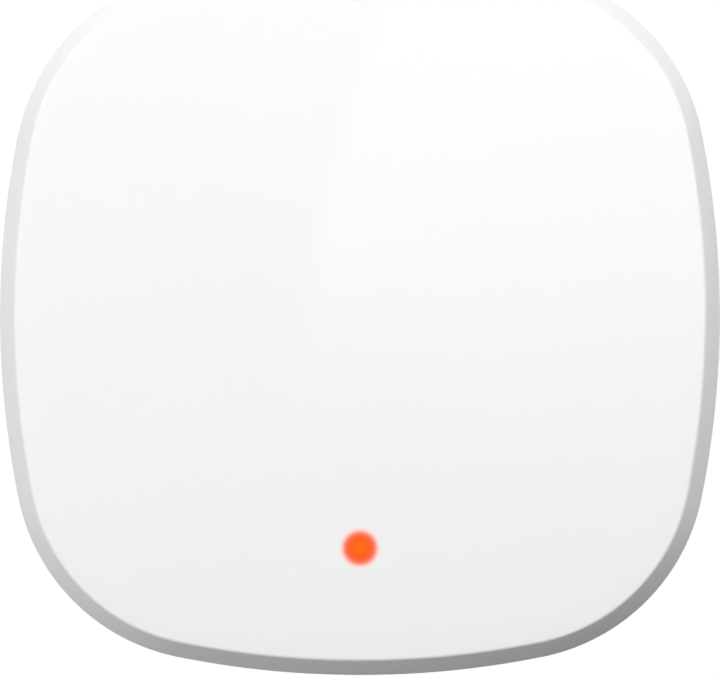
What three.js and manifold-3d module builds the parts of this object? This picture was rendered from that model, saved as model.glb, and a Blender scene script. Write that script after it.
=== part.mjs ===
// Ceiling access point: a square dish with bowed sides that twist-locks onto a round bracket.
// Millimetres. The pieces are laid out in a bench frame, x right, y up and z out of the face,
// with z = 0 on the ceiling. The exported group turns that frame so that the face looks along -Y
// and the status light is at the bottom.
import * as THREE from "three";
import { mergeVertices } from "three/addons/utils/BufferGeometryUtils.js";
import Module from "manifold-3d";

const wasm = await Module();
wasm.setup();

// ---- Driving dimensions ----
const halfWidth = 80;
const sideRadius = 205.4; // the bowed side, seen from the front
const cornerRadius = 45.1;
const outlineSteps = 64; // facets round the outline
const sideShare = 0.35; // the share of an octant's facets that lies on its bowed side

const faceTop = 36.2; // the crown of the face above the ceiling
const rimWidth = 3.5;
const rimSlope = (50 * Math.PI) / 180; // the bevel's tilt from the face plane
const faceEdge = 35.5; // height of the face where the bevel starts
const seam = 24;
const seamGap = 0.4;
const wall = 2.2;
const floorGap = 1.5; // from the ceiling to the back rim

const twist = 18; // degrees from locked to free
const studCircle = 42;
const studAngles = [6, 156, 216, 306]; // where the studs stand when locked
const studHeadRadius = 4;
const studShankRadius = 2;

const recessRadius = 54;
const recessFloor = 8.6;
const recessBack = 11;

const bracketRadius = 52;
const bracketSheet = 1.6;
const bracketFront = 7.8;
const bracketBack = bracketFront - bracketSheet;
const screwPads = [[30, 0], [-30, 0], [13, -22.5], [-13, -22.5]];

const latch = { pivotY: -36, pivotZ: 3.9, halfWidth: 5, tipY: -62.5, noseY: -46.9, noseTop: 9.4 };

const boardBack = 25;
const boardSheet = 1.6;
const boardFront = boardBack + boardSheet;
const boardInset = 12;
const partGap = 0.3; // between pieces that touch on the bench

const bay = { halfWidth: 30, low: 20, high: 52, floor: 22 };
const jack = { x: -16, width: 16, low: -1.4, high: 19.7, top: 11.4 };
const powerJack = { x: 4, width: 9, low: 5.4, high: 19.7, top: 13.7, bore: 18.5 };
const reset = { x: 20, z: 18.6 };
const coverScrewAt = 46;
const light = { y: -51.6, radius: 3.55 };
const heatSink = { halfWidth: 38, low: -50, high: -5, back: 18.6, front: 21.6, finTop: 12 };
const sinkScrews = [[33, -10], [-33, -10], [33, -45], [-33, -45]];
const antennas = [[54, 24], [-54, 24], [54, -20], [-54, -20]];
const coaxPlugs = [[16, 14], [-16, 14], [16, -14], [-16, -14]];

// ---- Materials ----
const material = (color, roughness, metalness = 0) =>
  new THREE.MeshStandardMaterial({ color, roughness, metalness });
const whitePlastic = material(0xf2f2f0, 0.28);
const housingPlastic = material(0xe9e9e6, 0.5);
const bracketPaint = material(0xdcdcd8, 0.55, 0.2);
const orangeLens = material(0xff6a1c, 0.25);
const steel = material(0xb9bcc0, 0.35, 1);
const darkSteel = material(0x6d7074, 0.4, 1);
const aluminium = material(0xa9adb2, 0.45, 1);
const rubber = material(0x8f9194, 0.9);
const boardGreen = material(0x1d5b3a, 0.5);
const blackPlastic = material(0x1b1c1e, 0.5);
const chipBlack = material(0x232427, 0.6);
const brass = material(0xc9a24a, 0.35, 1);
const padBlue = material(0x8fa9c4, 0.8);
const labelSilver = material(0xc8cacc, 0.5);
const coaxGrey = material(0x3a3c40, 0.5);
const latchPlastic = material(0xc9ccd0, 0.5);

// ---- Outline ----
const sideCentre = halfWidth - sideRadius;
const cornerCentre =
  (sideCentre + Math.sqrt(2 * (sideRadius - cornerRadius) ** 2 - sideCentre ** 2)) / 2;
const joinAngle = Math.atan2(cornerCentre, cornerCentre - sideCentre);

// A point of the outline moved inwards by inset, for turn from 0 to 1 round the face.
function outlinePoint(turn, inset) {
  const octant = (((turn % 1) + 1) % 1) * 8;
  const number = Math.floor(octant + 1e-9);
  const share = number % 2 ? number + 1 - octant : octant - number;
  let x, y;
  if (share < sideShare) {
    const angle = (joinAngle * share) / sideShare;
    x = sideCentre + (sideRadius - inset) * Math.cos(angle);
    y = (sideRadius - inset) * Math.sin(angle);
  } else {
    const angle = joinAngle + ((Math.PI / 4 - joinAngle) * (share - sideShare)) / (1 - sideShare);
    x = cornerCentre + (cornerRadius - inset) * Math.cos(angle);
    y = cornerCentre + (cornerRadius - inset) * Math.sin(angle);
  }
  if (number % 2) [x, y] = [y, x];
  return new THREE.Vector2(x, y).rotateAround(
    new THREE.Vector2(), (Math.floor(number / 2) * Math.PI) / 2);
}

// A lathe turned round z whose circles are drawn out to the outline. profile holds [size, z] pairs,
// where size is the half width there. Well inside, the outline keeps its shape and shrinks.
function dish(profile) {
  const offsetLimit = halfWidth - 20;
  const geometry = new THREE.LatheGeometry(
    profile.map(([size, z]) => new THREE.Vector2(size, z)), outlineSteps);
  const position = geometry.getAttribute("position");
  for (let i = 0; i < position.count; i++) {
    const [x, z, y] = [position.getX(i), position.getY(i), position.getZ(i)];
    const size = Math.hypot(x, y);
    const point = outlinePoint(
      Math.atan2(y, x) / (2 * Math.PI), halfWidth - Math.max(size, offsetLimit));
    point.multiplyScalar(Math.min(size / offsetLimit, 1));
    position.setXYZ(i, point.x, point.y, z);
  }
  return geometry;
}

// ---- Solids ----
// A geometry, or a solid, as a manifold-3d solid whose faces point out.
function solid(shape) {
  if (!shape.isBufferGeometry) return shape;
  const bare = shape.clone();
  bare.deleteAttribute("normal");
  bare.deleteAttribute("uv");
  const merged = mergeVertices(bare, 1e-4);
  return new wasm.Manifold(new wasm.Mesh({
    numProp: 3,
    vertProperties: new Float32Array(merged.getAttribute("position").array),
    triVerts: new Uint32Array(merged.index.array),
  }));
}

const join = (...shapes) => shapes.map(solid).reduce((sum, next) => sum.add(next));
const cut = (shape, ...tools) => tools.map(solid).reduce((rest, t) => rest.subtract(t), solid(shape));

function geometryOf(shape) {
  if (shape.isBufferGeometry) return shape;
  const mesh = shape.getMesh();
  const geometry = new THREE.BufferGeometry();
  geometry.setAttribute("position", new THREE.BufferAttribute(mesh.vertProperties, 3));
  geometry.setIndex(new THREE.BufferAttribute(mesh.triVerts, 1));
  geometry.computeVertexNormals();
  return geometry;
}

function box(x0, x1, y0, y1, z0, z1) {
  return new THREE.BoxGeometry(x1 - x0, y1 - y0, z1 - z0)
    .translate((x0 + x1) / 2, (y0 + y1) / 2, (z0 + z1) / 2);
}

// A lathe round z at x, y.
function turned(profile, x = 0, y = 0, steps = 16) {
  const points = profile.map(([radius, z]) => new THREE.Vector2(radius, z));
  return new THREE.LatheGeometry(points, steps).rotateX(Math.PI / 2).translate(x, y, 0);
}

const rod = (radius, z0, z1, x = 0, y = 0, steps = 16) =>
  new THREE.CylinderGeometry(radius, radius, z1 - z0, steps)
    .rotateX(Math.PI / 2).translate(x, y, (z0 + z1) / 2);

const rodAlongX = (radius, x0, x1, y, z, steps = 16) =>
  new THREE.CylinderGeometry(radius, radius, x1 - x0, steps)
    .rotateZ(Math.PI / 2).translate((x0 + x1) / 2, y, z);

const rodAlongY = (radius, y0, y1, x, z, steps = 16) =>
  new THREE.CylinderGeometry(radius, radius, y1 - y0, steps).translate(x, (y0 + y1) / 2, z);

function raise(shape, z0, z1) {
  return new THREE.ExtrudeGeometry(shape, { depth: z1 - z0, bevelEnabled: false, curveSegments: 6 })
    .translate(0, 0, z0);
}

function roundedRectangle(x0, x1, y0, y1, radius) {
  const shape = new THREE.Shape();
  shape.absarc(x1 - radius, y1 - radius, radius, 0, Math.PI / 2);
  shape.absarc(x0 + radius, y1 - radius, radius, Math.PI / 2, Math.PI);
  shape.absarc(x0 + radius, y0 + radius, radius, Math.PI, 1.5 * Math.PI);
  shape.absarc(x1 - radius, y0 + radius, radius, 1.5 * Math.PI, 2 * Math.PI);
  return shape;
}

// A slot bent along a circle round the centre, with round ends. Angles are in degrees.
function arcSlot(radius, halfWide, from, to) {
  const [a, b] = [from, to].map(THREE.MathUtils.degToRad);
  const end = (angle) => [radius * Math.cos(angle), radius * Math.sin(angle)];
  const shape = new THREE.Shape();
  shape.absarc(0, 0, radius + halfWide, a, b, false);
  shape.absarc(...end(b), halfWide, b, b + Math.PI, false);
  shape.absarc(0, 0, radius - halfWide, b, a, true);
  shape.absarc(...end(a), halfWide, a + Math.PI, a + 2 * Math.PI, false);
  return shape;
}

const polar = (radius, degrees) => {
  const angle = THREE.MathUtils.degToRad(degrees);
  return [radius * Math.cos(angle), radius * Math.sin(angle)];
};

const bench = new THREE.Group();
function place(name, shape, finish) {
  const mesh = new THREE.Mesh(geometryOf(shape), finish);
  mesh.name = name;
  bench.add(mesh);
  return mesh;
}

const corners = [[1, 1], [-1, 1], [-1, -1], [1, -1]];
const coverScrews = corners.map(([x, y]) => [x * coverScrewAt, y * coverScrewAt]);

// ---- Bracket and its latch ----
function mountBracket() {
  const padRadius = 8.2;
  const pad = [[0, 0], [6.6, 0], [padRadius, bracketFront], [0, bracketFront]];
  const dimple = [[0, bracketSheet], [5, bracketSheet], [6.6, bracketFront + 1], [0, bracketFront + 1]];
  const pan = turned([
    [0, bracketBack], [bracketRadius - bracketSheet, bracketBack],
    [bracketRadius - bracketSheet, 0], [bracketRadius, 0],
    [bracketRadius, bracketFront], [0, bracketFront]], 0, 0, 48);
  const ears = [-1, 1].map((side) => {
    const xs = [side * 9, side * 10.4].sort((a, b) => a - b);
    return box(xs[0], xs[1], latch.pivotY - 3, latch.pivotY + 3, latch.pivotZ - 2, bracketBack + 0.5);
  });
  const keyholes = studAngles.flatMap((angle) => [
    raise(arcSlot(studCircle, studShankRadius + 0.4, angle, angle + twist), 0, 10),
    rod(studHeadRadius + 0.6, 0, 10, ...polar(studCircle, angle + twist)),
  ]);
  return cut(
    join(pan, ...ears, ...screwPads.map(([x, y]) => turned(pad, x, y))),
    ...screwPads.map(([x, y]) => turned(dimple, x, y)),
    ...screwPads.map(([x, y]) => rod(2.3, -1, 3, x, y, 12)),
    ...keyholes,
    raise(roundedRectangle(-26, 26, 11, 41, 5), 4, 10), // over the port bay
    rod(4, 4, 10, 0, 0),
    box(-8, 8, 44, 56, -1, bracketBack), // lets a cable out sideways
    box(-7, 7, -56, -48, -1, bracketBack), // clears the latch
    box(-3.4, 3.4, latch.noseY - 2.4, latch.noseY + 2.4, 4, 10), // window for the nose
    rodAlongX(1.25, -12, 12, latch.pivotY, latch.pivotZ));
}

function releaseLatch() {
  const barrel = rodAlongX(2.1, -latch.halfWidth, latch.halfWidth, latch.pivotY, latch.pivotZ);
  const arm = box(-latch.halfWidth, latch.halfWidth, latch.tipY, latch.pivotY, 3.4, 5.6);
  const thumbPad = box(-latch.halfWidth - 1, latch.halfWidth + 1, latch.tipY, latch.tipY + 7, 2.9, 5.6);
  const nose = box(-2.6, 2.6, latch.noseY - 1.6, latch.noseY + 1.6, 5, latch.noseTop);
  const grooves = [1.5, 3.2, 4.9].map((step) =>
    box(-4, 4, latch.tipY + step - 0.4, latch.tipY + step + 0.4, 5.2, 6));
  return cut(join(barrel, arm, thumbPad, nose), ...grooves,
    rodAlongX(1.4, -12, 12, latch.pivotY, latch.pivotZ));
}

function latchSpring() {
  const coil = { radius: 1.85, from: 5.9, to: 8.3, turns: 3.1, steps: 10 };
  const path = [new THREE.Vector3(coil.from - 2.4, latch.pivotY - 9, 2.9)];
  path.push(new THREE.Vector3(coil.from - 0.2, latch.pivotY - 8, 2.7));
  const count = Math.round(coil.turns * coil.steps);
  for (let i = 0; i <= count; i++) {
    const angle = Math.PI * 1.5 + (2 * Math.PI * i) / coil.steps;
    path.push(new THREE.Vector3(
      coil.from + ((coil.to - coil.from) * i) / count,
      latch.pivotY + coil.radius * Math.cos(angle),
      latch.pivotZ + coil.radius * Math.sin(angle)));
  }
  path.push(new THREE.Vector3(coil.to, latch.pivotY + 5.5, 5.3));
  const wire = new THREE.Shape().absarc(0, 0, 0.22, 0, 2 * Math.PI);
  return new THREE.ExtrudeGeometry(wire, {
    steps: 44, curveSegments: 5, bevelEnabled: false,
    extrudePath: new THREE.CatmullRomCurve3(path, false, "centripetal"),
  });
}

// ---- Casing ----
const rimDepth = rimWidth * Math.tan(rimSlope);
const rimFoot = faceEdge - rimDepth;

function frontCover() {
  const bottom = seam + seamGap;
  const shell = dish([
    [0, faceTop], [40, faceTop - 0.17], [70, faceEdge + 0.08],
    [halfWidth - rimWidth - 0.3, faceEdge], [halfWidth - rimWidth + 0.25, faceEdge - 0.35],
    [halfWidth - 0.15, rimFoot + 0.3], [halfWidth, rimFoot - 0.4],
    [79.5, 28], [78.5, bottom],
    [78.5 - wall, bottom], [79.5 - wall, 28], [halfWidth - wall, rimFoot - 0.4],
    [halfWidth - rimWidth - 1.6, faceEdge - wall], [40, faceTop - 0.17 - wall], [0, faceTop - wall]]);
  const bosses = coverScrews.map(([x, y]) => rod(3.6, boardFront + partGap, faceEdge - 1.5, x, y));
  const collar = rod(6.4, 31, faceEdge - 1.5, 0, light.y, 20);
  return cut(join(shell, ...bosses, collar),
    ...coverScrews.map(([x, y]) => rod(1.6, boardFront - 1, 32.6, x, y, 12)),
    rod(4.9, 30, 33, 0, light.y, 20),
    rod(light.radius + 0.2, 30, 40, 0, light.y, 24));
}

function lightPipe() {
  const crown = 36.02;
  return turned([
    [0, 28.3], [2.2, 28.3], [2.6, 31.4], [4.6, 31.4], [4.6, 32.7], [light.radius, 32.7],
    [light.radius, crown - 0.35], [light.radius - 0.35, crown - 0.08], [0, crown]], 0, light.y, 24);
}

// The housing's outer side as [half width, height], from the back rim to the seam.
const housingSide = [[66.2, floorGap], [67.6, 2.3], [72, 8], [75, 14], [77.2, 20], [78.1, seam]];

function backHousing() {
  const inner = housingSide.slice(1, -1).reverse().map(([size, z]) => [size - wall, z + 0.5]);
  const lip = { outer: 75.6, inner: 74.4, top: 27 };
  const floor = floorGap + 2.4;
  const outside = [[0, floorGap], ...housingSide];
  const full = dish([...outside, [0, seam]].reverse());
  const shell = dish([...outside, [lip.outer, seam], [lip.outer, lip.top], [lip.inner, lip.top],
    ...inner, [65, floor], [0, floor]].reverse());
  const inside = (shape) => solid(shape).intersect(solid(full));
  const recess = rod(recessRadius + wall, floor - 1, recessBack, 0, 0, 48);
  const bayBox = box(-bay.halfWidth - wall, bay.halfWidth + wall,
    bay.low - wall, bay.high + wall, floor - 1, bay.floor + 2);
  const cableBox = inside(box(-9.5, 9.5, 50, 76, floorGap, recessBack + 0.7));
  const fingerBox = inside(box(-30, 10, -76, -50, floorGap, recessBack - 0.3));
  const posts = coverScrews.map(([x, y]) => rod(4.8, floor - 1, boardBack - partGap, x, y));
  const vents = [-1, 1].flatMap((side) => [-4, -3, -2, -1, 0, 1, 2, 3, 4].map((k) =>
    box(Math.min(side * 66, side * 84), Math.max(side * 66, side * 84),
      k * 4.6 - 0.9, k * 4.6 + 0.9, 11, 18)));
  return cut(
    join(shell, recess, bayBox, cableBox, fingerBox, ...posts),
    rod(recessRadius, 0, recessFloor, 0, 0, 48),
    box(-bay.halfWidth, bay.halfWidth, bay.low, bay.high, 0, bay.floor),
    box(-7.5, 7.5, 48, 80, 0, 9.5), // cable way to the edge
    box(-28, 8, -80, -48, 0, recessFloor), // finger notch by the latch
    raise(arcSlot(-latch.noseY, 2.7, 270 - twist - 2, 272), recessFloor - 1, recessFloor + 1.4),
    box(jack.x - jack.width / 2 - partGap, jack.x + jack.width / 2 + partGap,
      bay.low - wall - 1, bay.low + 0.1, jack.top - partGap, boardBack),
    box(powerJack.x - powerJack.width / 2 - partGap, powerJack.x + powerJack.width / 2 + partGap,
      bay.low - wall - 1, bay.low + 0.1, powerJack.top - partGap, boardBack),
    rodAlongY(1.9, bay.low - wall - 1, bay.low + 1, reset.x, reset.z),
    ...coverScrews.flatMap(([x, y]) => [rod(3.6, 0, 12, x, y), rod(1.8, 11, 26, x, y)]),
    ...studAngles.map((angle) => rod(1.7, recessFloor - 1, recessBack + 1,
      ...polar(studCircle, angle), 12)),
    box(60, 84, -37.5, -30.5, 9, 12), // slot for a cable lock
    ...vents);
}

const coverScrew = turned([
  [0, 9.2], [2.6, 9.2], [3.1, 9.8], [3.1, 11.7], [1.4, 11.7], [1.4, 31.2], [0, 32.2]], 0, 0, 12);

const rubberFoot = turned([[0, 0.4], [2.7, 0.4], [3.3, 0.9], [3.3, floorGap - 0.05], [0, floorGap - 0.05]]);

const mountingStud = turned([
  [0, 4.2], [3.5, 4.2], [studHeadRadius, 4.7], [studHeadRadius, 5.8], [studShankRadius, 5.8],
  [studShankRadius, recessFloor - 0.1], [1.35, recessFloor - 0.1], [1.35, recessBack + 0.4],
  [0, recessBack + 0.4]], 0, 0, 16);

// A cross recess driven into a screw's head from below.
function crossDriven(screw, headBottom, depth) {
  return cut(screw, box(-1.7, 1.7, -0.35, 0.35, headBottom - 1, headBottom + depth),
    box(-0.35, 0.35, -1.7, 1.7, headBottom - 1, headBottom + depth));
}

// ---- Circuit board and what is soldered to it ----
function mainBoard() {
  const shape = new THREE.Shape();
  for (let i = 0; i < outlineSteps; i++) {
    const point = outlinePoint(i / outlineSteps, boardInset);
    shape[i ? "lineTo" : "moveTo"](point.x, point.y);
  }
  const holes = [
    ...coverScrews.map((at) => rod(2, boardBack - 1, boardFront + 1, ...at, 12)),
    ...sinkScrews.map((at) => rod(1.5, boardBack - 1, boardFront + 1, ...at, 12)),
  ];
  return cut(raise(shape, boardBack, boardFront), ...holes);
}

const solderedTo = boardBack - partGap / 3;

function jackShell() {
  const half = jack.width / 2;
  const sheet = 0.5;
  return cut(
    box(jack.x - half, jack.x + half, jack.low, jack.high, jack.top, solderedTo),
    box(jack.x - half + sheet, jack.x + half - sheet, jack.low + sheet, jack.high + 1,
      jack.top + sheet, solderedTo + 1));
}

function jackInsert() {
  const half = jack.width / 2 - 0.5 - partGap / 2;
  return cut(
    box(jack.x - half, jack.x + half, jack.low + 0.7, jack.high - 0.1, jack.top + 0.7, solderedTo),
    box(jack.x - 5.9, jack.x + 5.9, 6, jack.high + 1, 14.1, 22.3),
    box(jack.x - 3.1, jack.x + 3.1, 6, jack.high + 1, 12.9, 15),
    box(jack.x - 2, jack.x + 2, 6, jack.high + 1, 12.4, 14));
}

function powerJackBody() {
  const half = powerJack.width / 2;
  return cut(
    box(powerJack.x - half, powerJack.x + half, powerJack.low, powerJack.high, powerJack.top, solderedTo),
    rodAlongY(3.2, powerJack.high - 10, powerJack.high + 1, powerJack.x, powerJack.bore, 20));
}

function resetButton() {
  const profile = [
    [0, 14.4], [1, 14.4], [1, 16.2], [2.6, 16.2], [2.6, 17], [1.55, 17], [1.55, 20.2], [1.2, 20.5], [0, 20.5]];
  const points = profile.map(([radius, along]) => new THREE.Vector2(radius, along));
  return new THREE.LatheGeometry(points, 14).translate(reset.x, 0, reset.z);
}

function shieldCan(x, halfWide) {
  const [low, high, lid] = [-39, -15, 22.5];
  const holes = [-6, -2, 2, 6].flatMap((dx) => [-8, -2.7, 2.7, 8].map((dy) =>
    box(x + dx - 0.6, x + dx + 0.6, -27 + dy - 0.6, -27 + dy + 0.6, lid - 1, lid + 1)));
  return cut(box(x - halfWide, x + halfWide, low, high, lid, solderedTo),
    box(x - halfWide + 0.4, x + halfWide - 0.4, low + 0.4, high - 0.4, lid + 0.4, solderedTo + 1),
    ...holes);
}

function finnedSink() {
  const fins = [];
  for (let x = -36; x <= 36; x += 8) {
    fins.push(box(x - 0.9, x + 0.9, heatSink.low + 12, heatSink.high - 9, heatSink.finTop, heatSink.back + 0.5));
  }
  const plate = raise(
    roundedRectangle(-heatSink.halfWidth, heatSink.halfWidth, heatSink.low, heatSink.high, 4),
    heatSink.back, heatSink.front);
  return cut(join(plate, ...fins), ...sinkScrews.map((at) => rod(1.5, 17, 23, ...at, 12)));
}

function transformer() {
  const core = box(37, 50, 6, 20, 16.2, 23.6);
  const legs = box(37, 50, 8.5, 17.5, 23, solderedTo);
  const window = [6, 17].map((y) => box(40, 47, y - 1, y + 4, 18.2, 21.6));
  const winding = box(40.2, 46.8, 5, 21, 18.4, 21.4);
  return join(cut(join(core, legs), ...window), winding);
}

const capacitor = turned([
  [0, 13.8], [3.4, 13.8], [4, 14.3], [4, 22.6], [3.7, 23], [4, 23.4], [4, solderedTo], [0, solderedTo]],
  0, 0, 16);

// A folded antenna plate on two legs, its feed leg on the side nearer the centre.
function antenna(x, y) {
  const inward = -Math.sign(x);
  const edge = x + inward * 4;
  const legOut = inward > 0 ? [edge - 0.5, edge] : [edge, edge + 0.5];
  const plate = cut(
    box(x - 4, x + 4, y - 12, y + 12, 31.9, 32.4),
    box(Math.min(edge, x - inward), Math.max(edge, x - inward), y - 6, y - 4.6, 31, 33));
  const foot = box(Math.min(edge, edge - inward * 3.5), Math.max(edge, edge - inward * 3.5),
    y + 5, y + 10, boardFront + 0.1, boardFront + 0.6);
  return join(plate, foot,
    box(...legOut, y + 5, y + 10, boardFront + 0.1, 32),
    box(...legOut, y + 1, y + 2.5, boardFront + 2.2, 32));
}

// Thin coax from a plug on the board to an antenna's feed leg.
function antennaCoax([ax, ay], [px, py]) {
  const inward = -Math.sign(ax);
  const feed = new THREE.Vector3(ax + inward * 5.3, ay + 1.75, boardFront + 2.6);
  const run = boardFront + 0.9;
  const path = new THREE.CatmullRomCurve3([
    new THREE.Vector3(px - inward * 1.8, py, run),
    new THREE.Vector3(px - inward * 6, py, run),
    new THREE.Vector3(ax + inward * 14, ay + 0.6, run),
    new THREE.Vector3(ax + inward * 9, ay + 1.75, run + 0.3),
    feed], false, "centripetal");
  const section = new THREE.Shape().absarc(0, 0, 0.6, 0, 2 * Math.PI);
  return new THREE.ExtrudeGeometry(section, {
    steps: 22, curveSegments: 6, bevelEnabled: false, extrudePath: path,
  });
}

const coaxPlug = cut(
  join(rod(1.4, boardFront + 0.1, boardFront + 1.7, 0, 0, 12)),
  rod(0.5, boardFront - 1, boardFront + 0.9, 0, 0, 8));

const sinkScrew = turned([
  [0, 16.4], [2.3, 16.4], [2.7, 16.9], [2.7, heatSink.back - 0.1], [1.2, heatSink.back - 0.1],
  [1.2, boardFront + 1.2], [0, boardFront + 1.8]], 0, 0, 12);

// ---- Assembly ----
place("mount_bracket", mountBracket(), bracketPaint);
place("latch_pivot_pin", rodAlongX(1, -11, 11, latch.pivotY, latch.pivotZ), steel);
place("release_latch", releaseLatch(), latchPlastic);
place("latch_spring", latchSpring(), steel);

place("front_cover", frontCover(), whitePlastic);
place("light_pipe", lightPipe(), orangeLens);
place("back_housing", backHousing(), housingPlastic);
place("label_plate", raise(roundedRectangle(-19, 19, -38, -14, 2), recessFloor - 0.3, recessFloor - 0.02),
  labelSilver);

coverScrews.forEach(([x, y], i) =>
  place(`cover_screw_${i + 1}`, crossDriven(coverScrew, 9.2, 1.1), steel).position.set(x, y, 0));
corners.forEach(([x, y], i) =>
  place(`rubber_foot_${i + 1}`, rubberFoot, rubber).position.set(x * 60, y * 18, 0));
studAngles.forEach((angle, i) =>
  place(`mounting_stud_${i + 1}`, mountingStud, darkSteel).position.set(...polar(studCircle, angle), 0));

place("main_board", mainBoard(), boardGreen);
place("ethernet_jack_shell", jackShell(), steel);
place("ethernet_jack_insert", jackInsert(), blackPlastic);
place("power_jack_body", powerJackBody(), blackPlastic);
place("power_jack_pin", rodAlongY(1, powerJack.high - 9.7, powerJack.high - 0.8, powerJack.x, powerJack.bore, 12),
  brass);
place("reset_switch", box(reset.x - 3, reset.x + 3, 9.8, 13.4, 15.4, solderedTo), chipBlack);
place("reset_button", resetButton(), blackPlastic);
place("status_led", box(-1.75, 1.75, light.y - 1.4, light.y + 1.4, boardFront + 0.1, boardFront + 1.3),
  whitePlastic);

place("processor_chip", box(-8.5, 8.5, -35.5, -18.5, 23.4, solderedTo), chipBlack);
place("memory_chip", box(-5.5, 5.5, -13.6, -6.6, 23.6, solderedTo), chipBlack);
place("shield_can_processor", shieldCan(0, 12), steel);
place("thermal_pad_processor", box(-10, 10, -37, -17, 21.7, 22.4), padBlue);
[["a", -25], ["b", 25]].forEach(([label, x]) => {
  place(`radio_chip_${label}`, box(x - 6, x + 6, -33, -21, 23.5, solderedTo), chipBlack);
  place(`shield_can_radio_${label}`, shieldCan(x, 11), steel);
  place(`thermal_pad_radio_${label}`, box(x - 9, x + 9, -36, -18, 21.7, 22.4), padBlue);
});
place("heat_sink", finnedSink(), aluminium);
sinkScrews.forEach(([x, y], i) =>
  place(`heat_sink_screw_${i + 1}`, sinkScrew, steel).position.set(x, y, 0));

place("lan_transformer", box(-43, -28, 2, 14, 19.8, solderedTo), chipBlack);
place("poe_transformer", transformer(), chipBlack);
place("power_inductor", raise(roundedRectangle(42, 53, -14, -3, 2), 19.4, solderedTo), chipBlack);
[38.5, 48.5].forEach((x, i) =>
  place(`capacitor_${i + 1}`, capacitor, aluminium).position.set(x, 30, 0));

antennas.forEach((at, i) => {
  place(`antenna_${i + 1}`, antenna(...at), brass);
  place(`antenna_coax_${i + 1}`, antennaCoax(at, coaxPlugs[i]), coaxGrey);
  place(`coax_plug_${i + 1}`, coaxPlug, brass).position.set(...coaxPlugs[i], 0);
});

bench.rotation.x = Math.PI / 2;
const accessPoint = new THREE.Group();
accessPoint.add(bench);

export default accessPoint;
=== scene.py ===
from math import atan2, cos, pi, radians, sin, sqrt, tan

import bpy
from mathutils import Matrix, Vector


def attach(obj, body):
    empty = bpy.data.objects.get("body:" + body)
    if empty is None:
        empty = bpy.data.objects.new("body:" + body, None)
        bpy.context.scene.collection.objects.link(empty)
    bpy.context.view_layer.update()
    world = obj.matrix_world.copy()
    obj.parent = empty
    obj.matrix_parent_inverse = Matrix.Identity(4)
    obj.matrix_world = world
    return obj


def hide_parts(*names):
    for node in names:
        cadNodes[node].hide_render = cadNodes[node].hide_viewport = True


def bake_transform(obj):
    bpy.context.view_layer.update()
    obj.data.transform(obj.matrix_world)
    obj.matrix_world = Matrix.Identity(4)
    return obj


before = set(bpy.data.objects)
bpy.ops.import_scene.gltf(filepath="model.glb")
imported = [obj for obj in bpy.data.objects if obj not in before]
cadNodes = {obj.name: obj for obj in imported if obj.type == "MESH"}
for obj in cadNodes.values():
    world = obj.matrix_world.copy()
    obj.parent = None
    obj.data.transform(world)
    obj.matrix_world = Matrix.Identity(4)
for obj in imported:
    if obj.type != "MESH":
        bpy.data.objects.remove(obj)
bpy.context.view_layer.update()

mm = 0.001
print("frame loaded:", len(cadNodes), "nodes")

# Sizes are in millimetres: x to the right, y up the face, z out of the ceiling through the face.

face = {
    "halfWidth": 80.0, "sideRadius": 205.4, "cornerRadius": 45.1,
    "crown": 36.2, "edge": 35.5, "edgeAt": 76.5, "rimWidth": 3.5, "rimSlope": 50.0,
    "sideSteps": 26, "cornerSteps": 40, "innerInset": 22.0, "innerRings": 16,
}
lightAt = (0.0, -51.6)
latchPivot = (-36.0, 3.9)  # y and z
studAngles = (6, 156, 216, 306)
studCircle = 42.0
resetAt = (20, 0, 18.6)
coverScrewAt = 46.0
screwCorners = [(x * coverScrewAt, y * coverScrewAt) for x in (-1, 1) for y in (-1, 1)]
weldGap = 0.002
cutWeldGap = 0.0005  # finer, for pieces with many cuts
loopSlack = (0.01, 0.05)  # how far a ring's points may be off its height and its outline


def at(x, y, z):  # a bench point as a scene point
    return Vector((x * mm, -z * mm, y * mm))


def clearSelection():
    if bpy.context.object and bpy.context.object.mode != "OBJECT":
        bpy.ops.object.mode_set(mode="OBJECT")
    bpy.ops.object.select_all(action="DESELECT")


def pick(piece):
    clearSelection()
    piece.select_set(True)
    bpy.context.view_layer.objects.active = piece
    return piece


def named(name):  # names what was just added
    piece = bpy.context.object
    piece.name = name
    piece.data.name = name
    return piece


def editAll():
    bpy.ops.object.mode_set(mode="EDIT")
    bpy.ops.mesh.select_mode(type="VERT")
    bpy.ops.mesh.select_all(action="SELECT")


def settle(piece):  # moves a piece's place into its mesh
    pick(piece)
    bpy.ops.object.transform_apply(location=True, rotation=True, scale=True)
    return piece


def closeUp(piece, merge=weldGap):
    pick(piece)
    editAll()
    bpy.ops.mesh.remove_doubles(threshold=merge * mm)
    bpy.ops.mesh.normals_make_consistent(inside=False)
    bpy.ops.object.mode_set(mode="OBJECT")
    return piece


def smooth(piece, degrees=32):
    pick(piece)
    bpy.ops.object.shade_smooth_by_angle(angle=radians(degrees))
    return piece


def drawWire(name, points):
    clearSelection()
    bpy.ops.mesh.primitive_plane_add(size=mm)
    piece = named(name)
    editAll()
    bpy.ops.mesh.merge(type="CENTER")
    bpy.ops.transform.translate(value=points[0])
    for last, here in zip(points, points[1:]):
        bpy.ops.mesh.extrude_vertices_move(TRANSFORM_OT_translate={"value": here - last})
    bpy.ops.mesh.select_all(action="SELECT")
    return piece


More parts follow.
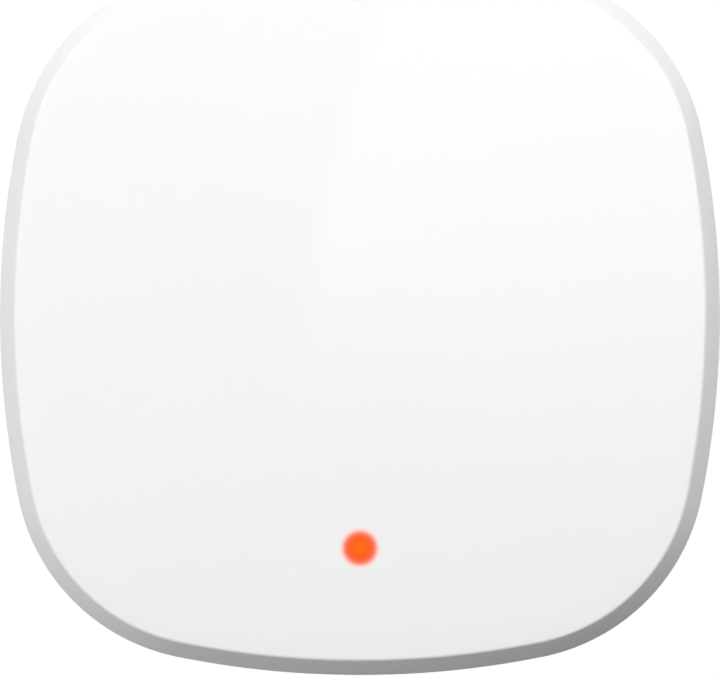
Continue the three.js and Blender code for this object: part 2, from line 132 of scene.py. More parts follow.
def fillet(points, radii, steps=5):  # rounds the corners of an open line of points
    out = [Vector(points[0])]
    for before, here, after, radius in zip(points, points[1:], points[2:], radii):
        here = Vector(here)
        back, ahead = (Vector(before) - here), (Vector(after) - here)
        half = back.angle(ahead) / 2
        reach = min(radius / tan(half), back.length * 0.49, ahead.length * 0.49)
        start, end = here + back.normalized() * reach, here + ahead.normalized() * reach
        for i in range(steps + 1):
            t = i / steps
            out.append(start * (1 - t) ** 2 + here * 2 * t * (1 - t) + end * t ** 2)
    out.append(Vector(points[-1]))
    return out


# The outline is eight tangent arcs, so its rim is spun round each arc's centre in turn.

sideCentre = face["halfWidth"] - face["sideRadius"]
cornerCentre = (sideCentre + sqrt(
    2 * (face["sideRadius"] - face["cornerRadius"]) ** 2 - sideCentre ** 2)) / 2
joinAngle = atan2(cornerCentre, cornerCentre - sideCentre)


def spinRound(x, y, angle, steps):
    bpy.ops.mesh.spin(steps=steps, angle=angle, center=at(x, y, 0), axis=(0, 1, 0),
                      use_auto_merge=False)


def spinOutline(name, profile):  # profile holds (inset from the outline, height)
    piece = drawWire(name, [at(face["halfWidth"] - inset, 0, z) for inset, z in profile])
    half = face["sideSteps"] // 2
    sides = [(sideCentre, 0), (0, sideCentre), (-sideCentre, 0), (0, -sideCentre)]
    bends = [(1, 1), (-1, 1), (-1, -1), (1, -1)]
    for i, ((sx, sy), (cx, cy)) in enumerate(zip(sides, bends)):
        if i == 0:
            spinRound(sx, sy, joinAngle, half)
        else:
            spinRound(sx, sy, joinAngle * 2, half * 2)
        spinRound(cx * cornerCentre, cy * cornerCentre, pi / 2 - 2 * joinAngle,
                  face["cornerSteps"])
    spinRound(sides[0][0], sides[0][1], joinAngle, half)
    bpy.ops.mesh.select_all(action="SELECT")
    bpy.ops.mesh.remove_doubles(threshold=weldGap * mm)
    bpy.ops.object.mode_set(mode="OBJECT")
    return piece


def selectLoop(piece, inset, z):  # the ring of edges at an inset and height
    bpy.ops.object.mode_set(mode="OBJECT")
    edge = face["halfWidth"] - inset
    for vertex in piece.data.vertices:
        vertex.select = False
    for link in piece.data.edges:
        link.select = False
    for polygon in piece.data.polygons:
        polygon.select = False
    reach = cornerReach(inset)
    offHeight, offOutline = loopSlack
    for vertex in piece.data.vertices:
        x, y, height = vertex.co.x / mm, vertex.co.z / mm, -vertex.co.y / mm
        far = sqrt(x * x + y * y)
        vertex.select = (abs(height - z) < offHeight
                         and edge - offOutline < far < reach + offOutline)
    bpy.ops.object.mode_set(mode="EDIT")
    bpy.ops.mesh.select_mode(type="VERT")


def cornerReach(inset):
    return cornerCentre * sqrt(2) + face["cornerRadius"] - inset


def capLoop(piece, inset, z, rings=0, rise=None):  # closes a ring, in steps where it is crowned
    selectLoop(piece, inset, z)
    bpy.ops.mesh.select_mode(type="EDGE")
    size = face["halfWidth"] - inset
    for i in range(rings):
        share = 1 - (i + 1) / (rings + 0.5)
        scale = share / (1 - i / (rings + 0.5))
        drop = rise(size * share) - rise(size * (1 - i / (rings + 0.5)))
        bpy.ops.mesh.extrude_edges_move(TRANSFORM_OT_translate={"value": at(0, 0, drop)})
        bpy.ops.transform.resize(value=(scale, 1, scale), center_override=(0, 0, 0))
    bpy.ops.mesh.edge_face_add()
    bpy.ops.object.mode_set(mode="OBJECT")


def crownHeight(size):
    return face["crown"] - (face["crown"] - face["edge"]) * (size / face["edgeAt"]) ** 2


# Plain solids to cut and join with.

def roundedBox(name, x0, x1, y0, y1, z0, z1, corner=0.0, soft=0.0, steps=6, along="z"):
    clearSelection()
    middle = at((x0 + x1) / 2, (y0 + y1) / 2, (z0 + z1) / 2)
    bpy.ops.mesh.primitive_cube_add(
        size=1, location=middle, scale=((x1 - x0) * mm, (z1 - z0) * mm, (y1 - y0) * mm))
    piece = settle(named(name))
    if corner:  # the four edges that run one way
        pick(piece)
        bpy.ops.object.mode_set(mode="EDIT")
        bpy.ops.mesh.select_mode(type="EDGE")
        bpy.ops.mesh.select_all(action="DESELECT")
        bpy.ops.object.mode_set(mode="OBJECT")
        for edge in piece.data.edges:
            a, b = (piece.data.vertices[i].co for i in edge.vertices)
            way = "xzy"[max(range(3), key=lambda i: abs(a[i] - b[i]))]
            edge.select = way == along
        bpy.ops.object.mode_set(mode="EDIT")
        bpy.ops.mesh.bevel(offset=corner * mm, segments=steps, affect="EDGES")
        bpy.ops.object.mode_set(mode="OBJECT")
    if soft:
        soften(piece, soft)
    return piece


def soften(piece, width):
    pick(piece)
    bevel = piece.modifiers.new("Edges", "BEVEL")
    bevel.width = width * mm
    bevel.segments = 2
    bevel.limit_method = "ANGLE"
    bevel.angle_limit = radians(40)
    bpy.ops.object.modifier_apply(modifier=bevel.name)
    return piece


def lathe(name, profile, x=0.0, y=0.0, steps=64):  # profile holds (radius, height)
    piece = drawWire(name, [at(x + radius, y, z) for radius, z in profile])
    bpy.ops.mesh.spin(steps=steps, angle=2 * pi, center=at(x, y, 0), axis=(0, 1, 0))
    bpy.ops.object.mode_set(mode="OBJECT")
    return closeUp(piece)


def latheAlong(name, axis, profile, centre, steps=48):  # profile holds (radius, place on the axis)
    ax, ay, az = centre
    if axis == "x":
        points = [at(along, ay, az + radius) for radius, along in profile]
        turn = (1, 0, 0)
    else:
        points = [at(ax + radius, along, az) for radius, along in profile]
        turn = (0, 0, 1)
    piece = drawWire(name, points)
    bpy.ops.mesh.spin(steps=steps, angle=2 * pi, center=at(ax, ay, az), axis=turn)
    bpy.ops.object.mode_set(mode="OBJECT")
    return closeUp(piece)


def rod(name, radius, z0, z1, x=0.0, y=0.0, steps=32):
    clearSelection()
    bpy.ops.mesh.primitive_cylinder_add(
        vertices=steps, radius=radius * mm, depth=(z1 - z0) * mm,
        location=at(x, y, (z0 + z1) / 2), rotation=(pi / 2, 0, 0))
    return settle(named(name))


def arcBar(name, radius, halfWide, start, end, z0, z1, steps=16):  # a bar bent along a circle
    piece = rod(name, halfWide, z0, z1, *polar(radius, start), steps=32)
    other = rod(name + "End", halfWide, z0, z1, *polar(radius, end), steps=32)
    wire = drawWire(name + "Middle", [
        at(*polar(radius + side * halfWide, start), z)
        for side, z in ((-1, z0), (1, z0), (1, z1), (-1, z1))])
    bpy.ops.mesh.edge_face_add()
    bpy.ops.mesh.spin(steps=steps, angle=radians(end - start), center=(0, 0, 0), axis=(0, 1, 0))
    bpy.ops.object.mode_set(mode="OBJECT")
    closeUp(wire)
    return combine(piece, "UNION", other, wire)


def polar(radius, degrees):
    return radius * cos(radians(degrees)), radius * sin(radians(degrees))


def combine(piece, how, *tools):  # joins with, cuts by or keeps inside each tool, and drops it
    for tool in tools:
        pick(piece)
        boolean = piece.modifiers.new("Combine", "BOOLEAN")
        boolean.operation = how
        boolean.solver = "MANIFOLD"
        boolean.object = tool
        bpy.ops.object.modifier_apply(modifier=boolean.name)
        bpy.data.objects.remove(tool)
    return piece


def copyTo(piece, name, x, y):
    pick(piece)
    bpy.ops.object.duplicate()
    copy = named(name)
    copy.location = at(x, y, 0)
    return settle(copy)


def finishPiece(piece, body, material, slot, *nodes):
    piece.data.materials.clear()
    piece.data.materials.append(material)
    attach(piece, body)
    if nodes:
        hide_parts(*nodes)
    return piece


# Finishes, all made of nodes on object coordinates.

def newFinish(name):
    material = bpy.data.materials.new(name)
    material.use_nodes = True
    return material, material.node_tree, material.node_tree.nodes["Principled BSDF"]


def addNode(tree, kind, inputs=None, **settings):
    made = tree.nodes.new(kind)
    for key, value in settings.items():
        setattr(made, key, value)
    for key, value in (inputs or {}).items():
        if isinstance(value, bpy.types.NodeSocket):
            tree.links.new(value, made.inputs[key])
        else:
            made.inputs[key].default_value = value
    return made


def objectPoint(tree, stretch=(1, 1, 1), centre=(0, 0, 0), turn=(0, 0, 0)):
    place = addNode(tree, "ShaderNodeTexCoord").outputs["Object"]
    return addNode(tree, "ShaderNodeMapping", {
        "Vector": place, "Location": centre, "Rotation": turn, "Scale": stretch,
    }).outputs["Vector"]


def noise(tree, point, scale, detail=3.0, roughness=0.5, distortion=0.0):
    return addNode(tree, "ShaderNodeTexNoise", {
        "Vector": point, "Scale": scale, "Detail": detail, "Roughness": roughness,
        "Distortion": distortion}).outputs["Fac"]


def spread(tree, value, low, high, fromLow=0.3, fromHigh=0.7):
    return addNode(tree, "ShaderNodeMapRange", {
        "Value": value, "From Min": fromLow, "From Max": fromHigh, "To Min": low,
        "To Max": high}).outputs["Result"]


def blendColour(tree, share, first, second):
    mix = addNode(tree, "ShaderNodeMix", data_type="RGBA")
    for index, value in ((0, share), (6, first), (7, second)):
        if isinstance(value, bpy.types.NodeSocket):
            tree.links.new(value, mix.inputs[index])
        elif index == 0:
            mix.inputs[index].default_value = value
        else:
            mix.inputs[index].default_value = (*value, 1)
    return mix.outputs[2]


def maths(tree, how, first, second=0.0):
    return addNode(tree, "ShaderNodeMath", {0: first, 1: second}, operation=how).outputs[0]


def relief(tree, height, depth, strength=1.0, under=None):
    inputs = {"Height": height, "Distance": depth * mm, "Strength": strength}
    if under is not None:
        inputs["Normal"] = under
    return addNode(tree, "ShaderNodeBump", inputs).outputs["Normal"]


def setShader(tree, shader, **values):
    for key, value in values.items():
        name = key.replace("_", " ")
        if isinstance(value, bpy.types.NodeSocket):
            tree.links.new(value, shader.inputs[name])
        elif isinstance(value, tuple) and len(value) == 3 and "Color" in name:
            shader.inputs[name].default_value = (*value, 1)
        else:
            shader.inputs[name].default_value = value


mouldedPlastics = {
    "housingPlastic": {"base": (0.82, 0.82, 0.805), "shade": (0.785, 0.785, 0.77),
                       "rough": (0.42, 0.56), "grain": 2600, "depth": 0.035, "specks": 0.5},
    "latchPlastic": {"base": (0.58, 0.60, 0.62), "shade": (0.53, 0.55, 0.57),
                     "rough": (0.4, 0.52), "grain": 2200, "depth": 0.03, "specks": 0.3},
    "blackPlastic": {"base": (0.018, 0.018, 0.02), "shade": (0.03, 0.03, 0.033),
                     "rough": (0.36, 0.55), "grain": 3000, "depth": 0.025, "specks": 0.3},
    "chipEpoxy": {"base": (0.022, 0.023, 0.025), "shade": (0.036, 0.037, 0.04),
                  "rough": (0.55, 0.72), "grain": 4200, "depth": 0.02, "specks": 0.6},
    "footRubber": {"base": (0.25, 0.255, 0.265), "shade": (0.30, 0.305, 0.315),
                   "rough": (0.78, 0.92), "grain": 3400, "depth": 0.05, "specks": 0.6},
    "coaxJacket": {"base": (0.03, 0.031, 0.034), "shade": (0.05, 0.05, 0.055),
                   "rough": (0.4, 0.55), "grain": 3000, "depth": 0.02, "specks": 0.2},
    "gapPad": {"base": (0.22, 0.33, 0.47), "shade": (0.27, 0.38, 0.52),
               "rough": (0.75, 0.9), "grain": 1800, "depth": 0.06, "specks": 0.6},
}


def mouldedPlastic(name):
    look = mouldedPlastics[name]
    material, tree, shader = newFinish(name)
    point = objectPoint(tree)
    tone = noise(tree, point, 34, 4)
    flow = noise(tree, objectPoint(tree, (1, 1, 0.25)), 120, 3, 0.6, 0.8)
    grain = noise(tree, point, look["grain"], 3, 0.62)
    cells = addNode(tree, "ShaderNodeTexVoronoi", {
        "Vector": point, "Scale": look["grain"] * 0.45}).outputs["Distance"]
    shade = blendColour(tree, spread(tree, tone, 0, 1), look["base"], look["shade"])
    dust = spread(tree, cells, 0.06 * look["specks"], 0, 0.0, 0.4)
    colour = blendColour(tree, dust, shade, tuple(c * 0.8 for c in look["base"]))
    fine = relief(tree, grain, look["depth"])
    setShader(tree, shader, Base_Color=colour, Roughness=spread(tree, flow, *look["rough"]),
              Normal=relief(tree, flow, look["depth"] * 0.8, 0.6, fine), IOR=1.5)
    return material


metals = {
    "brightSteel": {"base": (0.60, 0.61, 0.62), "shade": (0.50, 0.51, 0.52),
                    "rough": (0.29, 0.43), "lines": (60, 60, 2200), "depth": 0.006},
    "darkSteel": {"base": (0.20, 0.205, 0.215), "shade": (0.28, 0.285, 0.29),
                  "rough": (0.28, 0.46), "lines": (900, 900, 900), "depth": 0.008},
    "sinkAluminium": {"base": (0.55, 0.56, 0.575), "shade": (0.47, 0.48, 0.49),
                      "rough": (0.34, 0.52), "lines": (2000, 240, 90), "depth": 0.01},
    "goldPlate": {"base": (0.83, 0.60, 0.24), "shade": (0.72, 0.49, 0.18),
                  "rough": (0.28, 0.38), "lines": (1600, 200, 120), "depth": 0.005},
}


def metal(name):
    look = metals[name]
    material, tree, shader = newFinish(name)
    point = objectPoint(tree)
    grain = noise(tree, objectPoint(tree, look["lines"]), 1.0, 4, 0.6)
    stain = noise(tree, point, 90, 4, 0.6, 0.6)
    pits = noise(tree, point, 1900, 2, 0.5)
    colour = blendColour(tree, spread(tree, stain, 0, 1), look["base"], look["shade"])
    colour = blendColour(tree, spread(tree, pits, 0, 0.35, 0.55, 0.75), colour,
                         tuple(c * 0.75 for c in look["base"]))
    rough = maths(tree, "ADD", spread(tree, grain, *look["rough"]),
                  spread(tree, stain, -0.04, 0.05))
    setShader(tree, shader, Base_Color=colour, Metallic=1.0, Roughness=rough,
              Normal=relief(tree, grain, look["depth"], 0.8, relief(tree, pits, 0.01, 0.4)))
    return material


glossWhiteLook = {
    "base": (0.862, 0.863, 0.863), "shade": (0.857, 0.858, 0.857), "rough": (0.30, 0.35),
    # The orange ring round the light pipe and its faint glow are painted light: the LED's spill
    # painted into the white cover's colour and emission.
    "paintedLedSpill": [(3.7, (0.90, 0.40, 0.34)), (4.0, (0.91, 0.59, 0.55)), (4.2, (0.91, 0.68, 0.65)),
             (4.45, (0.89, 0.78, 0.765)), (4.9, (0.862, 0.863, 0.863))],
    "glow": (1.0, 0.20, 0.10), "paintedSpillGlowStrength": 0.10,
}


def distanceFrom(tree, x, y, z):  # how far a point of the piece is from a bench point
    centre = tuple(-c for c in at(x, y, z))
    return addNode(tree, "ShaderNodeVectorMath", {0: objectPoint(tree, centre=centre)},
                   operation="LENGTH").outputs["Value"]


def colourRamp(tree, value, stops):  # stops holds (value, colour)
    low, high = stops[0][0], stops[-1][0]
    ramp = addNode(tree, "ShaderNodeValToRGB", {"Fac": spread(tree, value, 0, 1, low, high)})
    marks = ramp.color_ramp.elements
    for mark, (_, colour) in zip(marks, (stops[0], stops[-1])):
        mark.color = (*colour, 1)
    for place, colour in stops[1:-1]:
        marks.new((place - low) / (high - low)).color = (*colour, 1)
    return ramp.outputs["Color"]


def glossWhite():
    look = glossWhiteLook
    material, tree, shader = newFinish("glossWhite")
    point = objectPoint(tree)
    tone = noise(tree, point, 22, 3)
    orangePeel = noise(tree, point, 260, 1, 0.4)
    fine = noise(tree, point, 3800, 2, 0.5)
    wiped = noise(tree, point, 60, 2, 0.5)
    # Near the light pipe the cover is tinted orange and made to glow, fading with distance from the
    # light: painted light from the LED, the cover itself is no lamp.
    fromLight = distanceFrom(tree, *lightAt, face["edge"])
    paintedLedSpill = colourRamp(tree, fromLight, [(r * mm, colour) for r, colour in look["paintedLedSpill"]])
    end = look["paintedLedSpill"][-1][0]
    paintedSpillFade = spread(tree, fromLight, 1, 0, look["paintedLedSpill"][0][0] * mm, end * mm)
    white = blendColour(tree, spread(tree, tone, 0, 1), look["base"], look["shade"])
    colour = blendColour(tree, maths(tree, "LESS_THAN", fromLight, end * mm), white, paintedLedSpill)
    setShader(tree, shader, Base_Color=colour, Roughness=spread(tree, wiped, *look["rough"]),
              Normal=relief(tree, fine, 0.0006, 0.5), IOR=1.49, Coat_Weight=1.0,
              Coat_Roughness=0.02, Coat_IOR=1.5,
              Coat_Normal=relief(tree, orangePeel, 0.0001, 1.0), Emission_Color=look["glow"],
              Emission_Strength=maths(tree, "MULTIPLY", paintedSpillFade, look["paintedSpillGlowStrength"]))
    return material


lensLook = {
    "glow": [(0.0, (0.93, 0.150, 0.006)), (0.9, (0.965, 0.138, 0.004)),
             (1.8, (0.965, 0.118, 0.005)), (2.45, (0.94, 0.122, 0.025)), (2.9, (0.93, 0.15, 0.060)),
             (3.3, (0.92, 0.235, 0.15)), (3.6, (0.93, 0.37, 0.29))],
    "strength": 1.0, "body": (0.02, 0.004, 0.001),
}


def lensGlow():
    look = lensLook
    material, tree, shader = newFinish("orangeLens")
    flat = objectPoint(tree, (1, 0, 1), (-lightAt[0] * mm, 0, -lightAt[1] * mm))
    far = addNode(tree, "ShaderNodeVectorMath", {0: flat}, operation="LENGTH").outputs["Value"]
    speckle = noise(tree, objectPoint(tree), 1500, 3, 0.5)
    ramp = colourRamp(tree, far, [(r * mm, colour) for r, colour in look["glow"]])
    glow = blendColour(tree, spread(tree, speckle, 0.0, 0.05), ramp, look["glow"][2][1])
    setShader(tree, shader, Base_Color=look["body"], Emission_Color=glow,
              Emission_Strength=look["strength"], Roughness=spread(tree, speckle, 0.3, 0.42),
              Normal=relief(tree, speckle, 0.004, 0.5), IOR=1.49, Specular_IOR_Level=0.25)
    return material


coatLook = {
    "base": (0.66, 0.66, 0.65), "shade": (0.60, 0.60, 0.592), "speck": (0.5, 0.5, 0.5),
    "rough": (0.42, 0.56), "peel": 620, "peelDepth": 0.03, "grit": 1500, "gritDepth": 0.012,
}


def powderCoat():
    look = coatLook
    material, tree, shader = newFinish("bracketCoat")
    point = objectPoint(tree)
    peel = noise(tree, point, look["peel"], 2, 0.5)
    tone = noise(tree, point, 40, 4, 0.6)
    grit = addNode(tree, "ShaderNodeTexVoronoi", {
        "Vector": point, "Scale": look["grit"]}).outputs["Distance"]
    colour = blendColour(tree, spread(tree, tone, 0, 1), look["base"], look["shade"])
    colour = blendColour(tree, spread(tree, grit, 0.12, 0, 0, 0.3), colour, look["speck"])
    under = relief(tree, grit, look["gritDepth"], 0.5)
    setShader(tree, shader, Base_Color=colour, Roughness=spread(tree, tone, *look["rough"]),
              Normal=relief(tree, peel, look["peelDepth"], 0.9, under), IOR=1.5)
    return material


boardLook = {
    "mask": (0.012, 0.115, 0.062), "track": (0.03, 0.21, 0.115), "via": (0.55, 0.45, 0.22),
    "rough": (0.28, 0.42), "trackPitch": (0.0085, 0.0011), "crossPitch": (0.013, 0.0019),
    "trackGap": 0.00018, "crossGap": 0.00016, "vias": 420,
}


def circuitMask():
    look = boardLook
    material, tree, shader = newFinish("solderMask")
    point = objectPoint(tree)
    flat = addNode(tree, "ShaderNodeVectorRotate", {"Vector": point, "Angle": pi / 2},
                   rotation_type="X_AXIS").outputs["Vector"]
    tracks = addNode(tree, "ShaderNodeTexBrick", {
        "Vector": flat, "Scale": 1.0, "Mortar Size": look["trackGap"], "Mortar Smooth": 0.2,
        "Brick Width": look["trackPitch"][0], "Row Height": look["trackPitch"][1]},
        offset=0.37).outputs["Fac"]
    across = addNode(tree, "ShaderNodeTexBrick", {
        "Vector": addNode(tree, "ShaderNodeVectorRotate", {"Vector": flat, "Angle": pi / 2},
                          rotation_type="Z_AXIS").outputs["Vector"],
        "Scale": 1.0, "Mortar Size": look["crossGap"], "Brick Width": look["crossPitch"][0],
        "Row Height": look["crossPitch"][1]}, offset=0.29).outputs["Fac"]
    zone = noise(tree, point, 42, 1)
    which = spread(tree, zone, 0, 1, 0.49, 0.51)
    lines = blendColour(tree, which, tracks, across)
    vias = addNode(tree, "ShaderNodeTexVoronoi", {
        "Vector": flat, "Scale": look["vias"]}).outputs["Distance"]
    dots = spread(tree, vias, 1, 0, 0.12, 0.16)
    colour = blendColour(tree, lines, look["mask"], look["track"])
    colour = blendColour(tree, maths(tree, "MULTIPLY", dots, which), colour, look["via"])
    grain = noise(tree, point, 2400, 2)
    setShader(tree, shader, Base_Color=colour, Roughness=spread(tree, grain, *look["rough"]),
              Normal=relief(tree, lines, 0.03, 0.8, relief(tree, grain, 0.006, 0.5)), IOR=1.5)
    return material


filmLook = {"base": (0.56, 0.565, 0.57), "shade": (0.50, 0.505, 0.51), "rough": (0.3, 0.46),
            "grain": 2400, "depth": 0.006, "metallic": 0.35}


def labelFilm():
    look = filmLook
    material, tree, shader = newFinish("labelFilm")
    point = objectPoint(tree)
    tone = noise(tree, point, 60, 3)
    grain = noise(tree, objectPoint(tree, (1, 1, 0.2)), look["grain"], 3)
    colour = blendColour(tree, spread(tree, tone, 0, 1), look["base"], look["shade"])
    setShader(tree, shader, Base_Color=colour, Roughness=spread(tree, grain, *look["rough"]),
              Metallic=look["metallic"], Normal=relief(tree, grain, look["depth"], 0.6))
    return material


finishes = {name: mouldedPlastic(name) for name in mouldedPlastics}
finishes.update({name: metal(name) for name in metals})
finishes.update(glossWhite=glossWhite(), orangeLens=lensGlow(), bracketCoat=powderCoat(),
                solderMask=circuitMask(), labelFilm=labelFilm())
print("finishes made:", len(finishes))


# The front cover and its light pipe. Rods are (radius, lowest, highest).

coverLook = {
    "wall": 2.2, "seam": 24.4, "lowSide": (0.45, 28.0), "seamInset": 1.5,
    "faceRound": 1.1, "sideRound": 1.0, "footRound": 3.0, "flatFrom": 9.0, "flatSteps": 4,
    "boss": (3.6, 26.9, 34.6), "bore": (1.6, 25, 32.6), "collar": (6.4, 31, 34.6),
    "well": (4.9, 30, 33), "eye": (3.72, 30, 40),
}


def makeFrontCover():
    look = coverLook
    half, inner, flat = face["halfWidth"], face["innerInset"], look["flatFrom"]
    rimFoot = face["edge"] - face["rimWidth"] * tan(radians(face["rimSlope"]))
    outside = fillet(
        [(look["seamInset"], look["seam"]), look["lowSide"], (0.0, rimFoot),
         (face["rimWidth"], face["edge"]), (flat, crownHeight(half - flat))],
        [look["footRound"], look["sideRound"], look["faceRound"]], 6)
    for i in range(1, look["flatSteps"] + 1):
        inset = flat + (inner - flat) * i / look["flatSteps"]
        outside.append(Vector((inset, crownHeight(half - inset))))
    cover = spinOutline("frontCover", outside)
    capLoop(cover, inner, crownHeight(half - inner), face["innerRings"], crownHeight)
    closeUp(cover)
    shell = cover.modifiers.new("Wall", "SOLIDIFY")
    shell.thickness = look["wall"] * mm
    shell.offset = -1
    shell.use_even_offset = True
    pick(cover)
    bpy.ops.object.modifier_apply(modifier=shell.name)
    combine(cover, "UNION", *[rod("boss", *look["boss"], *c) for c in screwCorners],
            rod("collar", *look["collar"], *lightAt, steps=48))
    combine(cover, "DIFFERENCE", *[rod("bore", *look["bore"], *c) for c in screwCorners],
            rod("well", *look["well"], *lightAt, steps=48),
            rod("eye", *look["eye"], *lightAt, steps=72))
    smooth(cover, 30)
    return finishPiece(cover, "access_point", finishes["glossWhite"], "white_plastic",
                       "front_cover")


frontCover = makeFrontCover()
print("front cover made:", len(frontCover.data.polygons), "faces")


pipeProfile = [  # radius and height, from the light emitter to the crown of the lens
    (0, 28.3), (2.2, 28.3), (2.6, 31.4), (4.6, 31.4), (4.6, 32.7), (3.6, 32.7), (3.6, 35.74),
    (3.56, 35.82), (3.4, 35.87), (3.0, 35.91), (2.0, 35.97), (1.0, 36.0), (0, 36.01)]
lightPipe = smooth(lathe("lightPipe", pipeProfile, *lightAt, 72), 40)
finishPiece(lightPipe, "access_point", finishes["orangeLens"], "orange_lens", "light_pipe")
print("light pipe made")


# The back housing. Boxes are (left, right, bottom, top) and then (back, front).

housingLook = {
    "wall": 2.2, "back": 1.5, "floor": 3.9, "seam": 24.0,
    "side": [(12.4, 2.3), (8.0, 8.0), (5.0, 14.0), (2.8, 20.0), (1.9, 24.0)],
    "recess": 54.0, "recessFloor": 8.6, "recessBack": 11.0,
    "bay": (-30.0, 30.0, 20.0, 52.0), "bayFloor": 22.0, "capInset": 25.0,
    "backEdge": (13.4, 2.0), "innerEdge": (15.8, 1.2), "insideStep": 0.6, "openEnd": 4,
    "lip": [(2.7, 23.0), (2.7, 24.3), (4.4, 24.3), (4.4, 26.8), (4.6, 27.0), (5.4, 27.0),
            (5.6, 26.8), (5.6, 21.5), (4.2, 21.5), (2.7, 23.0)],
    "cableBox": (-9.5, 9.5, 50, 77), "cableTop": 11.7, "cableWay": (-7.5, 7.5, 48, 84, -2, 9.5),
    "fingerBox": (-30, 10, -77, -50), "fingerTop": 10.7, "fingerNotch": (-28, 8, -84, -48),
    "boxMargin": 0.7, "noseSlot": (46.9, 2.7, 250, 272),
    "jackWindow": (-24.3, -7.7, 16, 20.1, 11.1, 25.6),
    "powerWindow": (-0.8, 8.8, 16, 20.1, 13.4, 25.6), "resetHole": 1.9,
    "lockSlot": (60, 84, -37.5, -30.5, 9, 12), "post": (4.8, 24.7), "headWell": (3.6, -1, 12),
    "shankWell": (1.8, 11, 26), "studBore": 1.7,
    "ventPitch": 4.6, "ventCount": 9, "ventHalf": 0.9, "ventX": (66, 84), "ventZ": (11, 18),
}


def flow(points, steps=5):  # a smooth line through every point
    line = [Vector(p) for p in points]
    line = [line[0] * 2 - line[1], *line, line[-1] * 2 - line[-2]]
    out = []
    for a, b, c, d in zip(line, line[1:], line[2:], line[3:]):
        for i in range(steps):
            t = i / steps
            out.append(0.5 * (2 * b + (c - a) * t + (2 * a - 5 * b + 4 * c - d) * t ** 2
                              + (3 * b - a - 3 * c + d) * t ** 3))
    return [*out, line[-2]]


def closedDish(name, profile):
    piece = spinOutline(name, profile)
    for inset, z in (profile[0], profile[-1]):
        capLoop(piece, inset, z)
    return closeUp(piece)


def housingOuter(name, margin=0.0):
    look = housingLook
    side = [(inset + margin, z) for inset, z in look["side"]]
    back = look["back"] + margin
    edge, radius = look["backEdge"]
    foot = fillet([(look["capInset"], back), (edge + margin, back), side[0]], [radius])
    return closedDish(name, [*foot, *flow(side)[1:], Vector((look["capInset"], look["seam"]))])


def housingInner(name):
    look = housingLook
    wall = look["wall"]
    side = [(inset + wall, z + look["insideStep"]) for inset, z in look["side"][:-1]]
    edge, radius = look["innerEdge"]
    foot = fillet([(look["capInset"], look["floor"]), (edge, look["floor"]), side[0]], [radius])
    top = (look["side"][-1][0] + wall, look["seam"] + look["openEnd"])
    line = flow([*side, (top[0], look["seam"])])[1:]
    return closedDish(name, [*foot, *line, Vector(top), Vector((look["capInset"], top[1]))])


def makeBackHousing():
    look = housingLook
    housing = combine(housingOuter("backHousing"), "DIFFERENCE", housingInner("inner"))
    x0, x1, y0, y1 = look["bay"]
    wall, low = look["wall"], look["floor"] - 1
    walls = [combine(roundedBox(part, *look[part], look["back"], look[top]), "INTERSECT",
                     housingOuter("keep", look["boxMargin"]))
             for part, top in (("cableBox", "cableTop"), ("fingerBox", "fingerTop"))]
    lip = spinOutline("lip", look["lip"])
    postRadius, postTop = look["post"]
    combine(housing, "UNION", closeUp(lip), rod("cup", look["recess"] + wall, low,
            look["recessBack"], steps=160),
            roundedBox("bayWalls", x0 - wall, x1 + wall, y0 - wall, y1 + wall, low,
                       look["bayFloor"] + 2, corner=3.5),
            *walls, *[rod("post", postRadius, low, postTop, *c) for c in screwCorners])
    half = look["ventHalf"]
    vents = [roundedBox("vent", *sorted(side * x for x in look["ventX"]),
                        k * look["ventPitch"] - half, k * look["ventPitch"] + half,
                        *look["ventZ"], corner=0.85, along="x")
             for side in (-1, 1)
             for k in range(-(look["ventCount"] // 2), look["ventCount"] // 2 + 1)]
    combine(
        housing, "DIFFERENCE",
        rod("recess", look["recess"], 0, look["recessFloor"], steps=160),
        roundedBox("bay", x0, x1, y0, y1, 0, look["bayFloor"], corner=2.5),
        roundedBox("cableWay", *look["cableWay"], corner=1.6, along="y"),
        roundedBox("fingerNotch", *look["fingerNotch"], -1, look["recessFloor"], corner=3.0),
        arcBar("noseSlot", *look["noseSlot"], look["recessFloor"] - 1,
               look["recessFloor"] + 1.4),
        roundedBox("jackWindow", *look["jackWindow"]),
        roundedBox("powerWindow", *look["powerWindow"]),
        latheAlong("resetHole", "y", [(0, 16), (look["resetHole"], 16),
                                      (look["resetHole"], 20.5), (0, 20.5)], resetAt),
        roundedBox("lockSlot", *look["lockSlot"], corner=0.8, along="x"),
        *[rod("headWell", *look["headWell"], *c, steps=48) for c in screwCorners],
        *[rod("shankWell", *look["shankWell"], *c) for c in screwCorners],
        *[rod("studBore", look["studBore"], look["recessFloor"] - 1, look["recessBack"] + 1,
              *polar(studCircle, a)) for a in studAngles],
        *vents)
    smooth(closeUp(housing, cutWeldGap), 32)
    return finishPiece(housing, "access_point", finishes["housingPlastic"], "housing_plastic",
                       "back_housing")


backHousing = makeBackHousing()
print("back housing made:", len(backHousing.data.polygons), "faces")


# The mounting bracket, a pressed pan.

bracketLook = {
    "radius": 52.0, "sheet": 1.6, "front": 7.8, "twist": 18.0,
    "pads": [(30, 0), (-30, 0), (13, -22.5), (-13, -22.5)],
    "padRadius": 8.2, "padFoot": 6.6, "screwHole": 2.3, "dimple": [5, 6.3, 7.5],
    "ear": (9, 10.4), "earHalf": 3, "earDrop": 2, "slotHalf": 2.4, "keyhole": 4.6,
    "centreHole": 4, "portWindow": (-26, 26, 11, 41), "cableExit": (-8, 8, 44, 56),
    "latchGap": (-7, 7, -56, -48), "noseWindow": (-3.4, 3.4, -49.3, -44.5), "pinHole": 1.25,
    "sheetCut": (4, 10), "throughCut": (-2, 10),  # lowest and highest of what cuts the sheet
}


